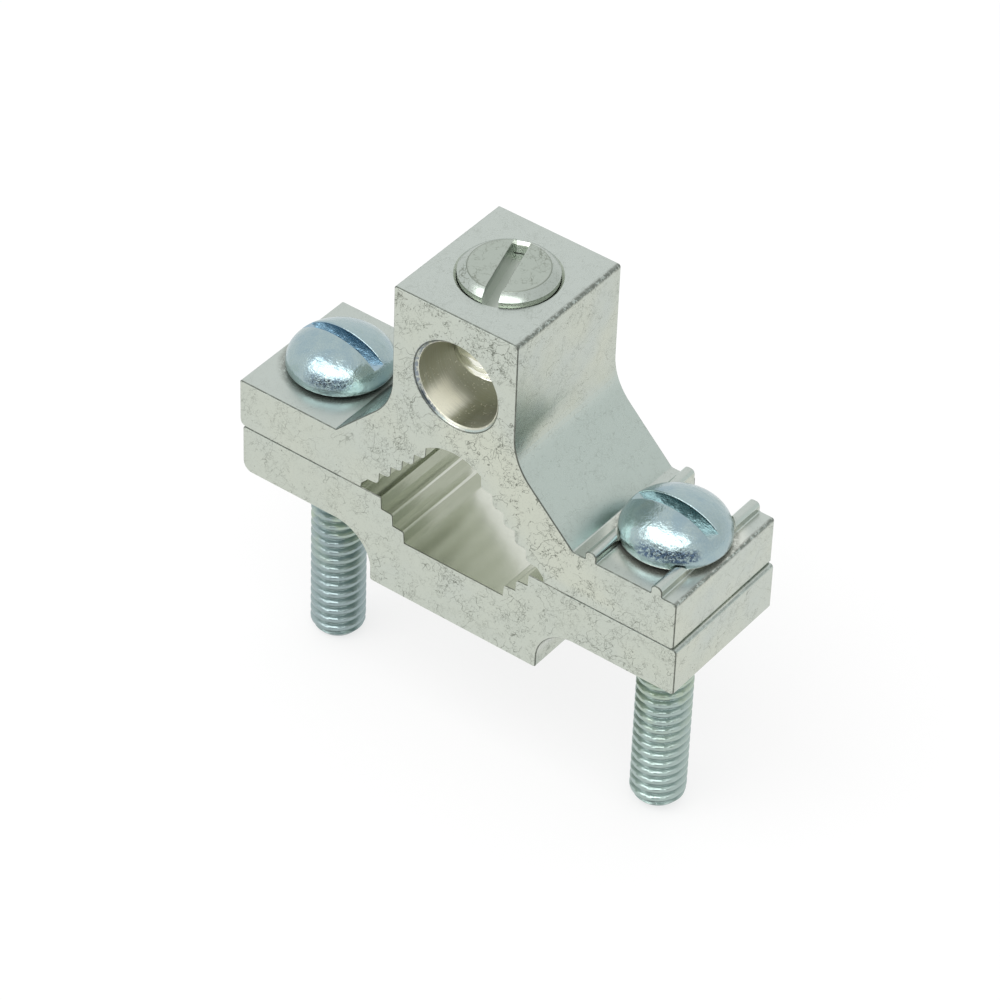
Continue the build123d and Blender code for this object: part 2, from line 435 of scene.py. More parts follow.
@dataclass(frozen=True)
class Noise:
    """Soft noise: waves to the unit, octaves, roughness and the span of its smooth step."""

    waves: float
    detail: float = 2.0
    rough: float = 0.5
    span: Span | None = None


@dataclass(frozen=True)
class Scratch:
    """A family of scratches, in millimetres: apart, stretched, turned and half as wide.

    Waves and curl bend them, breaks, share and fade cut them into lengths, and core is
    the part of the half width that is darkest.
    """

    pitch: float
    stretch: float
    turn: Triple
    width: float
    curl: float = 1.6
    breaks: float = 0.7
    share: float = 0.52
    waves: float = 1.3
    fade: float = 0.06
    core: float = 0.4


def new_material(name: str) -> tuple[bpy.types.Material, Bench]:
    """Make a material whose node tree is empty.

    Args:
        name: Name of the material.

    Returns:
        The material and the bench for its nodes.
    """
    material = bpy.data.materials.new(name)
    material.use_nodes = True
    return material, Bench(material.node_tree)


def put_metal(
    piece: bpy.types.Object,
    material: bpy.types.Material,
    colour: Shade,
    rough: Shade,
    normal: Shade,
) -> None:
    """Finish a metal and make it the one material of a piece.

    Args:
        piece: The piece that gets it.
        material: The metal's material.
        colour: Its colour.
        rough: Its roughness.
        normal: Its bumped normal.
    """
    bench = colour.bench
    values = {"Metallic": 1.0, "Base Color": colour, "Roughness": rough, "Normal": normal}
    shader = bench.node("ShaderNodeBsdfPrincipled", {}, values)
    bench.node("ShaderNodeOutputMaterial", {}, [shader])
    piece.data.materials.clear()
    piece.data.materials.append(material)


# Finishes


@dataclass(frozen=True)
class CornerLine:
    """An edge along Y painted dark, as painted shade of its rounding and partly edge wear: its
    place, reach and amount.
    """

    x: float
    z: float
    reach: float
    amount: float


@dataclass(frozen=True)
class TinnedAluminium:
    """Satin tin plate over sawn and extruded aluminium, scratched by tumbling.

    Each span is where a mask rises from none to full, or falls where its first value is
    the larger.
    """

    body: Colour = (0.52, 0.56, 0.49)
    warm: Colour = (0.545, 0.575, 0.49)
    cool: Colour = (0.505, 0.55, 0.505)
    # upper and slope tint faces by which way they look: painted light and shade.
    upper: Colour = (0.515, 0.565, 0.53)
    slope: Colour = (0.495, 0.57, 0.53)
    face: Colour = (0.63, 0.67, 0.60)
    worn: Colour = (0.655, 0.675, 0.565)
    # inner is the vee's tone made lighter: painted light inside the vee.
    inner: Colour = (0.665, 0.69, 0.615)
    # flank darkens the vee's faces that look towards -X: painted shade.
    flank: Colour = (0.53, 0.56, 0.495)
    bore: Colour = (0.61, 0.615, 0.51)
    # Near-white of the bore's painted highlight and of its pale flecks.
    bore_highlight_paint: Colour = (0.98, 0.97, 0.88)
    # bright is painted light under the right screw's head and a painted highlight on the conductor
    # screw's mouth.
    bright: Colour = (0.72, 0.75, 0.69)
    blue: Colour = (0.17, 0.21, 0.27)
    mark: Colour = (0.165, 0.18, 0.145)
    # grime is painted shade along edges and round the heads, partly edge wear.
    edge_shade_and_grime: Colour = (0.12, 0.13, 0.11)
    half_depth: float = 9.0
    edge: float = 0.12
    bore_height: float = 20.45
    bore_radius: float = 5.2
    highlight_turn: float = 236.0
    mouth: Triple = (-0.25, 0.15, 29.8)
    mouth_reach: Span = (5.95, 5.9)
    seats: Pair = (-22.4, 22.8)
    seat_height: float = 6.3
    seat_ring: Span = (7.2, 6.3)
    under_head_light: Span = (8.3, 6.6)
    vee_slope: float = 1.1
    vee_apex: Span = (17.0, 16.0)
    vee_foot: Span = (17.6, 17.0)
    vee_floor: Span = (-10.2, -9.8)
    arm: float = 13.2
    arm_width: Span = (5.5, 1.5)
    arm_start: Span = (-1.5, 2.5)
    arm_foot: Span = (0.5, 2.0)
    apex: Pair = (1.0, 14.5)
    apex_reach: Span = (5.0, 1.5)
    facing_up: Span = (0.2, 0.5)
    level: Span = (0.9, 0.95)
    drift: Noise = Noise(120.0, span=(0.35, 0.65))
    patches: Noise = Noise(420.0, 3.0, span=(0.3, 0.75))
    blotches: Noise = Noise(330.0, 3.0)
    grit: Noise = Noise(6500.0, 3.0, 0.6)
    fleck_groups: Noise = Noise(1500.0, span=(0.48, 0.56))
    burr_blots: Noise = Noise(2200.0, 3.0, 0.6, (0.38, 0.56))
    rings: Noise = Noise(1.0, 3.0, 0.6)
    ring_scale: Triple = (250.0, 9000.0, 250.0)
    coarse_edge_mottle: Noise = Noise(2300.0, 3.0, 0.65)
    fine_edge_mottle: Noise = Noise(7000.0, 3.0, 0.6)
    scratch_groups: Noise = Noise(190.0, span=(0.34, 0.66))
    pit_groups: Noise = Noise(600.0, span=(0.56, 0.66))
    specks: Noise = Noise(8000.0, 1.0, span=(0.66, 0.72))
    scratches: tuple[Scratch, ...] = (
        Scratch(1.0, 1.8, (0.0, 32.0, 20.0), 0.028, 2.2, 0.6, 0.515),
        Scratch(0.8, 1.5, (25.0, 78.0, 10.0), 0.026, 2.2, 0.6, 0.515),
        Scratch(1.3, 2.4, (50.0, -40.0, 70.0), 0.034, 2.6, 0.6, 0.51),
    )
    long_scratch: Scratch = Scratch(2.4, 3.4, (15.0, 52.0, -30.0), 0.034, 1.2, 0.9, 0.5)

    def dress(self, piece: bpy.types.Object, corners: Sequence[CornerLine]) -> None:
        """Give the finish to a piece.

        Args:
            piece: A jaw in the frame of the part.
            corners: Its edges painted dark.
        """
        material, bench = new_material("tinned_aluminium_" + piece.name)
        spot = bench.spot()
        z = spot.z
        sawn = spot.depth.step(self.half_depth - 0.02, self.half_depth - 0.004)
        inner, bore = self._hollows(spot, sawn)
        grit = spot.noise(self.grit)
        lean, _, rise = bench.split(bench.node("ShaderNodeNewGeometry", {}, [], "True Normal"))
        upward = rise.step(*self.facing_up)
        marks = self._marks(spot, sawn, (inner * 0.8).upper(bore).upper(upward * 0.55))
        edge_shade_and_wear = self._edge_shade_and_wear(spot, sawn, corners) * (1.0 - bore)
        lines = bench.noise(bench.mapped(spot.place, self.ring_scale), self.rings)
        lining, patch = self._lining(spot, lines)
        layers = (
            (sawn * 0.6, self.face),
            (self._worn(spot) * sawn * 0.5, self.worn),
            # Painted light: the vee made lighter.
            (inner, self.inner),
            # Painted shade on the vee's faces that look towards -X.
            (inner * lean.step(-0.2, -0.5), self.flank),
            # Painted light on the flange under the right head.
            (self._painted_light_under_head(spot) * rise.step(*self.level), self.bright),
            # Bore lining, with its painted highlight.
            (bore, lining),
            (self._burr(spot), self.blue),
            # Painted highlight on the conductor screw's mouth.
            (self._mouth_highlight(spot), self.bright),
            (grit.step(0.5, 0.25) * (0.06 + sawn * 0.09), self.mark),
            (marks, self.mark),
            # Painted shade on edges and round the heads, partly edge wear.
            (edge_shade_and_wear, self.edge_shade_and_grime),
        )
        colour = bench.layered(self._tint_and_face_shade(spot, rise, upward), layers)
        rough = 0.13 + sawn * 0.29 + spot.noise(self.blotches) * 0.08
        rough = rough + marks * 0.15 + edge_shade_and_wear * 0.3 + bore * 0.2
        rough = rough + bore * patch * 0.40 + z.step(7.0, 9.0) * (1.0 - sawn - inner) * 0.09
        rough = rough + upward * z.step(9.0, 7.5) * (1.0 - inner) * 0.13
        grain = grit * (0.06 + sawn * 0.54) + lines * bore * 1.2
        normal = bench.bump(grain, 0.35, 0.03 * MM)
        put_metal(piece, material, colour, rough, normal)

    def _tint_and_face_shade(self, spot: Spot, rise: Shade, upward: Shade) -> Shade:
        """Slow drift of the plate's colour between warm and cool, with painted light and shade on
        the faces that look up and on the slopes.

        Args:
            spot: The shaded point.
            rise: Upward part of the face's direction.
            upward: Mask of the faces that look up.

        Returns:
            The colour.
        """
        bench = spot.bench
        colour = bench.mix(spot.noise(self.drift), self.warm, self.cool)
        colour = bench.mix(spot.noise(self.patches) * 0.7, colour, self.body)
        # Painted light and shade by the face's direction.
        colour = bench.mix(upward, colour, self.upper)
        return bench.mix(upward * rise.step(0.95, 0.8), colour, self.slope)

    def _hollows(self, spot: Spot, sawn: Shade) -> tuple[Shade, Shade]:
        """Masks of the vee between the jaws and of the bore, both off the sawn faces.

        Args:
            spot: The shaded point.
            sawn: Mask of the sawn faces.

        Returns:
            The vee's mask and the bore's.
        """
        z = spot.z
        side = abs(spot.x) * self.vee_slope
        vee = (z + side).step(*self.vee_apex) * (side - z).step(*self.vee_foot)
        away = spot.from_line(0.0, self.bore_height)
        bore = away.step(self.bore_radius + 0.2, self.bore_radius + 0.1)
        return vee * z.step(*self.vee_floor) * (1.0 - sawn), bore * (1.0 - sawn)

    def _lining(self, spot: Spot, lines: Shade) -> tuple[Shade, Shade]:
        """Lining of the bore: olive with pale flecks, and a painted highlight on a patch inside
        each mouth and on the far wall.

        Args:
            spot: The shaded point.
            lines: The drill's rings.

        Returns:
            The colour and the mask of the painted highlight patch.
        """
        bench = spot.bench
        aim = math.radians(self.highlight_turn)
        towards = spot.x * math.cos(aim) + (spot.z - self.bore_height) * math.sin(aim)
        shift = lines - 0.5
        # The pale patch inside each mouth and the far wall are painted highlight.
        facing = (towards / self.bore_radius + shift * 0.10).step(0.87, 0.99)
        patch = facing * (spot.depth + shift * 1.5).step(3.2, 6.0)
        far = (towards / self.bore_radius).step(-0.05, -0.3)
        flecks = bench.cells(spot.place, 3200.0, (0.34, 0.22))
        flecks = flecks * spot.noise(self.fleck_groups) * spot.z.step(20.5, 17.5)
        shade = bench.mix(lines.step(0.45, 0.62) * 0.55, self.bore, self.inner)
        return bench.mix(patch.upper(flecks * 0.9).upper(far), shade, self.bore_highlight_paint), patch

    def _burr(self, spot: Spot) -> Shade:
        """Bluish mottling on the left of the bore's chamfers.

        Args:
            spot: The shaded point.

        Returns:
            Its mask.
        """
        away = spot.from_line(0.0, self.bore_height)
        ring = away.step(self.bore_radius + 0.04, self.bore_radius + 0.08)
        ring = ring * away.step(self.bore_radius + 0.5, self.bore_radius + 0.46)
        left = spot.depth.step(8.5, 8.55) * spot.x.step(-1.0, -3.0)
        return ring * left * spot.noise(self.burr_blots) * 0.75

    def _worn(self, spot: Spot) -> Shade:
        """The right arm and the apex, where the sawn faces are worn most.

        Args:
            spot: The shaded point.

        Returns:
            Their mask.
        """
        slant = math.sqrt(0.5)
        arm = abs((spot.x + spot.z) * slant - self.arm).step(*self.arm_width)
        arm = arm * spot.x.step(*self.arm_start) * spot.z.step(*self.arm_foot)
        return arm.upper(spot.from_line(*self.apex).step(*self.apex_reach))

    def _painted_light_under_head(self, spot: Spot) -> Shade:
        """Mask of painted light on the right flange's top under the clamp screw's head."""
        near = spot.from_axis(self.seats[1], 0.0).step(*self.under_head_light)
        return near * spot.z.step(self.seat_height + 0.7, self.seat_height + 0.6)

    def _mouth_highlight(self, spot: Spot) -> Shade:
        """Painted highlight on the countersunk mouth round the conductor screw.

        Args:
            spot: The shaded point.

        Returns:
            Its mask.
        """
        x, y, top = self.mouth
        sunk = spot.z.step(top - 0.5, top - 0.4) * spot.z.step(top, top - 0.01)
        return spot.from_axis(x, y).step(*self.mouth_reach) * sunk

    def _edge_shade_and_wear(self, spot: Spot, sawn: Shade, corners: Sequence[CornerLine]) -> Shade:
        """Dark mottling along the sawn faces' outline, round the heads and along the edges painted
        dark: painted shade, partly edge wear.

        Args:
            spot: The shaded point.
            sawn: Mask of the sawn faces.
            corners: The edges painted dark.

        Returns:
            How dark each point is.
        """
        mottle = spot.noise(self.coarse_edge_mottle) * 0.7 + spot.noise(self.fine_edge_mottle) * 0.3
        mottle = mottle.step(0.36, 0.54)
        # Painted shade on the sawn faces' chamfered outline, partly edge wear.
        start = self.half_depth - self.edge
        outline = spot.depth.step(start - 0.03, start + 0.01)
        total = outline * (1.0 - sawn) * (0.72 + mottle * 0.2)
        top = abs(spot.z - self.seat_height).step(0.12, 0.06)
        # Painted shade of the heads on the flange round each seat.
        for seat in self.seats:
            ring = spot.from_axis(seat, 0.0).step(*self.seat_ring)
            total = total.upper(ring * top * mottle * 0.5)
        # Painted shade of the rounded edges, partly edge wear.
        for corner in corners:
            away = spot.from_line(corner.x, corner.z)
            band = away.step(corner.reach, corner.reach * 0.3)
            total = total.upper(band * mottle * corner.amount)
        return total

    def _marks(self, spot: Spot, sawn: Shade, shield: Shade) -> Shade:
        """Scratches and small pits, thickest on the sawn faces' right arm and apex.

        Args:
            spot: The shaded point.
            sawn: Mask of the sawn faces.
            shield: How far each point is kept from marks.

        Returns:
            How dark each point is.
        """
        bench = spot.bench
        fine = bench.hairlines(spot.place, self.scratches[0])
        for scratch in self.scratches[1:]:
            fine = fine.upper(bench.hairlines(spot.place, scratch))
        rare = bench.hairlines(spot.place, self.long_scratch)
        dense = self._worn(spot).upper(spot.z.step(23.0, 26.5) * 0.8)
        gather = spot.noise(self.scratch_groups)
        spread = 0.02 + spot.x.step(-15.0, -6.0) * 0.30 + dense * 0.15
        amount = (0.46 + sawn * spread) * (1.0 - shield)
        dots = bench.cells(spot.place, 1700.0, (0.20, 0.10)) * spot.noise(self.pit_groups)
        pits = dots.upper(spot.noise(self.specks) * 0.6) * (1.0 - shield)
        lines = fine * (gather * 0.5 + dense * 0.4 + 0.35) + rare * 0.8
        return (lines * amount + pits * 0.6).lower(0.85)


@dataclass(frozen=True, kw_only=True)
class ZincPlate:
    """Bright bluish zinc plate, pitted on the domes and iridescent in the slots."""

    slot: Colour
    # thread is darker on the left screw: painted shade under the jaw.
    thread: Colour
    # under is painted light on the right head's underside; the left's is close to the plate.
    under: Colour
    # Amount and reach of the painted dark reflection on the domes' front.
    dark_reflection: float
    dark_reflection_reach: float
    body: Colour = (0.385, 0.485, 0.49)
    deep: Colour = (0.24, 0.36, 0.44)
    stain: Colour = (0.29, 0.39, 0.36)
    green: Colour = (0.44, 0.53, 0.41)
    # root paints the thread's grooves darker: painted shade.
    root: Colour = (0.25, 0.33, 0.315)
    # navy is a painted dark reflection on the domes' front.
    painted_dark_reflection: Colour = (0.075, 0.125, 0.20)
    pitted: float = 25.0
    green_rise: Span = (-26.0, -10.0)
    clouds: Noise = Noise(330.0, 3.0)
    pits: Noise = Noise(5200.0, 2.0, 0.6)
    dents: Noise = Noise(1000.0, 3.0, 0.55)
    spatter: Noise = Noise(3000.0, 3.0, 0.6, (0.40, 0.56))

    def dress(self, piece: bpy.types.Object, screw: "ClampScrew") -> None:
        """Give the finish to a clamp screw.

        Args:
            piece: The screw's mesh.
            screw: Its sizes and place.
        """
        material, bench = new_material("zinc_plate_" + piece.name)
        spot = bench.spot()
        z, seat = spot.z, screw.seat
        clouds, pits = spot.noise(self.clouds), spot.noise(self.pits)
        flecks = pits.step(0.42, 0.58)
        front = self._front(spot, screw)
        shank = z.step(seat - 0.2, seat - 0.8)
        green = clouds.step(0.45, 0.62) * z.step(*self.green_rise)
        threaded = bench.mix(green, self.thread, self.green)
        threaded = bench.mix(flecks * 0.35, threaded, self.body)
        away = spot.from_axis(screw.x, 0.0)
        root_shade = away.step(screw.shank - 0.1, screw.shank - screw.thread.depth + 0.06)
        rim = seat + screw.undercut
        layers = (
            (clouds.step(0.45, 0.25) * 0.7, self.stain),
            ((1.0 - flecks) * 0.2, self.deep),
            # Painted dark reflection on the front flank.
            (front * spot.noise(self.spatter) * self.dark_reflection, self.painted_dark_reflection),
            (shank, threaded),
            # Painted shade in the thread's roots.
            (shank * root_shade * 0.7, self.root),
            # Painted light on the right head's underside; near plate tone on the left.
            (z.step(rim + 0.10, rim + 0.02) * (1.0 - shank), self.under),
            (self._sunk(spot, screw) * 0.9, self.slot),
        )
        colour = bench.mix(clouds.step(0.47, 0.75) * 0.5, self.body, self.deep)
        colour = bench.layered(colour, layers)
        rough = 0.09 + pits * 0.08 + clouds * 0.08 + shank * 0.14
        dents = spot.noise(self.dents) * (2.2 - shank * 1.5)
        normal = bench.bump(flecks * (0.10 + front * 0.5) + dents, 0.8, 0.05 * MM)
        put_metal(piece, material, colour, rough, normal)

    def _front(self, spot: Spot, screw: "ClampScrew") -> Shade:
        """The dome's front flank above the rim, where the plate is pitted most and a dark
        reflection is painted.

        Args:
            spot: The shaded point.
            screw: The screw's sizes and place.

        Returns:
            Its mask.
        """
        aim = direction(self.pitted, 0.0)
        towards = (spot.x - screw.x) * aim.x + spot.y * aim.y
        facing = towards / spot.from_axis(screw.x, 0.0).upper(0.1)
        rim = screw.seat + screw.rim_height
        band = spot.z.step(rim + 0.35, rim + 0.7) * spot.z.step(rim + 2.0, rim + 1.4)
        return facing.step(self.dark_reflection_reach, self.dark_reflection_reach + 0.14) * band

    def _sunk(self, spot: Spot, screw: "ClampScrew") -> Shade:
        """The slot's walls and floor, by the distance across the slot.

        Args:
            spot: The shaded point.
            screw: The screw's sizes and place.

        Returns:
            Their mask.
        """
        turn = math.radians(screw.slot_turn)
        across = spot.y * math.cos(turn) - (spot.x - screw.x) * math.sin(turn) - screw.slot_back
        inside = abs(across).step(screw.slot_half + 0.06, screw.slot_half + 0.01)
        floor = screw.seat + screw.floor
        return inside * spot.z.step(floor - 0.04, floor - 0.01)


@dataclass(frozen=True)
class TurnedAluminium:
    """Tin-plated screw aluminium with a scratched flat."""

    body: Colour = (0.43, 0.48, 0.43)
    bright: Colour = (0.44, 0.49, 0.45)
    # end paints the screw's end in the bore near white: painted highlight.
    end: Colour = (0.88, 0.89, 0.80)
    side: Colour = (0.53, 0.575, 0.525)
    mark: Colour = (0.17, 0.19, 0.15)
    grit: Noise = Noise(6000.0, 3.0, 0.6)
    scratch_groups: Noise = Noise(300.0, span=(0.35, 0.6))
    scratches: tuple[Scratch, Scratch] = (
        Scratch(0.9, 1.8, (0.0, 10.0, 40.0), 0.034),
        Scratch(0.7, 1.4, (10.0, 0.0, -35.0), 0.030),
    )

    def dress(self, piece: bpy.types.Object, screw: "ConductorScrew") -> None:
        """Give the finish to the conductor screw.

        Args:
            piece: The screw's mesh.
            screw: Its sizes and place.
        """
        material, bench = new_material("turned_aluminium_" + piece.name)
        spot = bench.spot()
        away = spot.from_axis(screw.x, screw.y)
        first, second = (bench.hairlines(spot.place, scratch) for scratch in self.scratches)
        fine = first.upper(second) * (spot.noise(self.scratch_groups) * 0.4 + 0.3)
        top, low = screw.top, screw.top - screw.chamfer
        # ring paints the groove round the flat dark: painted shade.
        ring = abs(away - screw.flat).step(0.09, 0.03) * spot.z.step(top - 0.5, top - 0.2)
        grit = spot.noise(self.grit)
        slope = away.step(screw.flat, screw.flat + 0.1)
        layers = (
            (fine.upper(ring * 0.5).upper(grit.step(0.42, 0.25) * 0.35), self.mark),
            (spot.z.step(low, low - 0.15), self.side),
            # Painted highlight on the end inside the bore.
            (spot.z.step(top - 3.0, top - 5.0), self.end),
        )
        colour = bench.layered(bench.mix(slope, self.body, self.bright), layers)
        rough = 0.26 + grit * 0.10 - slope * 0.08
        normal = bench.bump(grit * 0.4, 0.3, 0.03 * MM)
        put_metal(piece, material, colour, rough, normal)


# Sub-assemblies


@dataclass
class Thread:
    """Right-hand thread, as a groove whose depth follows the turn and the height."""

    pitch: float = 1.27
    depth: float = 0.56
    crest: float = 0.30
    root: float = 0.16
    fullness: float = 0.8
    rows: int = 12

    def groove(self, turn: Grid, height: Grid) -> Grid:
        """Depth below the crest.

        The phase is height over pitch less turn over one round. The distance from the
        middle of the crest rises evenly between the crest's flat and the root's flat,
        a cosine rounds both ends, and a power under one makes the root fuller.

        Args:
            turn: Angle about the axis, in radians.
            height: Height along the axis, in millimetres.

        Returns:
            Depth in millimetres, 0 on the crest.
        """
        phase = (height / self.pitch - turn / (2.0 * math.pi)) % 1.0
        away = np.abs(phase - 0.5) * 2.0
        rise = np.clip((away - self.crest) / (1.0 - self.crest - self.root), 0.0, 1.0)
        return self.depth * (0.5 - 0.5 * np.cos(math.pi * rise)) ** self.fullness

    def heights(self, low: float, high: float) -> Grid:
        """Heights of the rows between two others, so many to a pitch."""
        return np.arange(low, high, self.pitch / self.rows)


@dataclass(kw_only=True)
class SlottedScrew(ABC):
    """Screw with a driver slot right across its head, which its columns follow.

    Heights count from the screw's own origin. Until the screw is turned the slot's back
    wall is towards +Y, and slot_back is how far the slot's middle is off the axis that way.
    Edges that turn by more than sharp, in degrees, aren't shaded smooth.
    """

    x: float
    y: float = 0.0
    thread: Thread = field(default_factory=Thread)
    slot_half: float
    slot_back: float
    slot_depth: float
    slot_turn: float
    edge_round: float
    sharp: float
    side_steps: int = 44
    end_steps: int

    @property
    @abstractmethod
    def floor(self) -> float:
        """Height of the slot's floor."""

    @property
    @abstractmethod
    def ring(self) -> float:
        """Distance from the axis to the head's surface at the height of the slot's floor."""

    @abstractmethod
    def shaft(self) -> Grid:
        """All that is below the slot's floor, as one grid around the axis."""

    @abstractmethod
    def head_side(self, wall: float) -> Grid:
        """One side of the head, for a slot's wall that far from the axis towards +Y."""

    @property
    def walls(self) -> Pair:
        """Distances from the axis to the slot's back and front walls."""
        return self.slot_half + self.slot_back, self.slot_half - self.slot_back

    @property
    def columns(self) -> Grid:
        """Places of the columns along a wall, as shares of its half length: an even cosine."""
        return np.cos(np.linspace(0.0, math.pi, self.side_steps + 1))

    def side_turns(self, wall: float, radius: float) -> Grid:
        """Turns from one end of a wall to the other, at a distance from the axis."""
        half = math.asin(wall / radius)
        return np.linspace(half, math.pi - half, self.side_steps + 1)

    def end_turns(self) -> Grid:
        """Turns across the slot's end, from the back wall to the front one."""
        back, front = (math.asin(wall / self.ring) for wall in self.walls)
        return np.linspace(back, -front, self.end_steps + 1)

    def turns(self) -> Grid:
        """Turn of every column.

        Returns:
            Turns along both walls and across both ends of the slot, all round.
        """
        back, front = (self.side_turns(wall, self.ring) for wall in self.walls)
        end = self.end_turns()
        left, right = math.pi - end, end[::-1]
        return np.concatenate([back[:-1], left[:-1], front[:-1] + math.pi, right[:-1]])

    def round_edge(self, x: Grid, wall: float, soft: Grid, brow: Grid) -> Grid:
        """Quarter circle from the top of the head to a wall of the slot.

        Args:
            x: Place of every column along the wall.
            wall: Distance from the axis to the wall.
            soft: Radius of the quarter circle.
            brow: Height of the top.

        Returns:
            Rows of points, from the top down.
        """
        lean = np.radians([22.5, 45.0, 67.5, 90.0])[:, None]
        y = wall + soft * (1.0 - np.sin(lean))
        z = brow - soft * (1.0 - np.cos(lean))
        return np.stack([0.0 * y + x, y, z], axis=-1)

    def slot_floor(self) -> Grid:
        """Floor of the slot.

        Returns:
            Rows of points straight along the slot, whose ends bulge out to the ring.
        """
        y = self.ring * np.sin(self.end_turns())[:, None]
        x = np.sqrt(self.ring**2 - y**2) * self.columns
        return np.stack([x, 0.0 * x + y, 0.0 * x + self.floor], axis=-1)

    def assemble(self, name: str, height: float) -> bpy.types.Object:
        """Make the screw's mesh and put it in place.

        Args:
            name: Name of the piece.
            height: Where the screw's own origin goes, in millimetres.

        Returns:
            The piece.
        """
        stock = MeshStock()
        stock.add_grid(self.shaft(), wrap=True)
        back, front = self.walls
        stock.add_grid(self.head_side(back))
        stock.add_grid(self.head_side(front) * np.array([-1.0, -1.0, 1.0]))
        stock.add_grid(self.slot_floor())
        return stock.build(name, Vector((self.x, self.y, height)), self.slot_turn, self.sharp)


@dataclass(kw_only=True)
class ClampScrew(SlottedScrew):
    """Domed zinc screw, seated on its flange, with a rolled thread down to its tip."""

    body: str
    seat: float
    rim: float
    undercut: float
    shank: float = 3.175
    length: float = 38.1
    tip_radius: float = 2.375
    tip_length: float = 1.0
    neck: float = 1.1
    thread_fade: float = 1.4
    seat_radius: float = 5.2
    rim_rise: float = 0.3
    top: float = 4.32
    slot_half: float = 0.74
    slot_depth: float = 1.9
    edge_round: float = 0.13
    edge_fade: float = 0.5
    sharp: float = 50.0
    end_steps: int = 6

    @property
    def rim_height(self) -> float:
        """Height of the rim's widest line above the seat."""
        return self.undercut + self.rim_rise

    @property
    def dome(self) -> float:
        """Height of the dome above the rim's widest line."""
        return self.top - self.rim_height

    @property
    def floor(self) -> float:
        """Height of the slot's floor above the seat."""
        return self.top - self.slot_depth

    @property
    def ring(self) -> float:
        """Distance from the axis at which the dome sinks to the slot's floor."""
        share = (self.floor - self.rim_height) / self.dome
        return self.rim * math.sqrt(1.0 - share * share)

    def dome_height(self, radius: Grid) -> Grid:
        """Height of the dome above the seat at a distance from the axis."""
        return self.rim_height + ellipse_height(radius, self.rim, self.dome)

    def rows(self) -> tuple[Grid, Grid, Grid]:
        """Rows of the shaft, from the tip to the height of the slot's floor.

        Returns:
            Radius, height and share of the thread of every row.
        """
        tip = -self.length
        tip_r = np.array([0.0, 0.9, 1.8, 2.2, self.tip_radius])
        tip_z = tip + np.array([0.0, 0.0, 0.0, 0.02, 0.09])
        run_z = self.thread.heights(tip + 0.15, -self.neck)
        slope = (self.shank - self.tip_radius) / self.tip_length
        run_r = np.minimum(self.tip_radius + (run_z - tip - 0.05) * slope, self.shank)
        neck_z = np.array([-self.neck, -0.7, -0.35, -0.1, 0.0])
        neck_r = np.array([2.98, 2.96, 3.0, 3.15, 3.35])
        lip = np.array([-0.12, -0.03, 0.0, 0.0, 0.0])
        under_r = np.concatenate([[4.2, self.seat_radius - 0.3, self.seat_radius], self.rim + lip])
        rise = np.array([-0.1, 0.0, 0.3, 0.6, 1.0]) * self.rim_rise
        under_z = np.concatenate([[0.0, 0.0, 0.02], self.undercut + rise])
        lift = np.linspace(0.0, math.asin((self.floor - self.rim_height) / self.dome), 9)[1:]
        dome_r = self.rim * np.cos(lift)
        dome_z = self.rim_height + self.dome * np.sin(lift)
        radius = np.concatenate([tip_r, run_r, neck_r, under_r, dome_r])
        height = np.concatenate([tip_z, run_z, neck_z, under_z, dome_z])
        share = np.zeros_like(radius)
        first, last = len(tip_r), len(tip_r) + len(run_r)
        share[first:last] = 1.0 - smooth_step(-self.neck - self.thread_fade, -self.neck, run_z)
        return radius, height, share

    def shaft(self) -> Grid:
        """Tip, thread, neck, rim and the lower dome as one grid around the axis.

        Each row's radius is the smaller of its own radius and the shank's radius less
        the thread's groove, where the thread has a share.

        Returns:
            Rows of points, from the tip up.
        """
        turn = self.turns()[None, :]
        radius, height, share = (column[:, None] for column in self.rows())
        grooved = self.shank - share * self.thread.groove(turn, height)
        return around(turn, np.where(share > 0.0, np.minimum(radius, grooved), radius), height)

    def head_side(self, wall: float) -> Grid:
        """One side of the upper dome, from the ring at the floor's height to the floor.

        Rows blend evenly from the ring to the slot's edge and take the dome's height;
        then a quarter circle rounds the edge, and a straight wall goes down.

        Args:
            wall: Distance from the axis to the slot's wall on this side.

        Returns:
            Rows of points, for the side towards +Y.
        """
        turn = self.side_turns(wall, self.ring)
        ring = np.stack([np.cos(turn), np.sin(turn)], axis=-1) * self.ring
        x = math.sqrt(self.ring**2 - wall**2) * self.columns
        depth = self.dome_height(np.hypot(x, wall)) - self.floor
        soft = self.edge_round * smooth_step(0.0, self.edge_fade, depth)
        edge = np.stack([x, wall + soft], axis=-1)
        share = np.linspace(0.0, 1.0, 17)[:, None, None]
        flat = ring[None] * (1.0 - share) + edge[None] * share
        top = self.dome_height(np.hypot(flat[..., 0], flat[..., 1]))
        dome = np.concatenate([flat, top[..., None]], axis=-1)
        brow = top[-1]
        sink = np.array([0.25, 0.5, 0.75, 1.0])[:, None]
        z = (brow - soft) * (1.0 - sink) + self.floor * sink
        down = np.stack([0.0 * z + x, 0.0 * z + wall, z], axis=-1)
        return np.concatenate([dome, self.round_edge(x, wall, soft, brow), down])

    def build(self, finish: ZincPlate) -> bpy.types.Object:
        """Make the screw and let it stand for its CAD node.

        Args:
            finish: Its plate.

        Returns:
            The piece.
        """
        piece = self.assemble(self.body + "_threaded", self.seat)
        finish.dress(piece, self)
        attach(piece, self.body)
        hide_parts(self.body)
        LOG.info("%s: %d faces", piece.name, len(piece.data.polygons))
        return piece


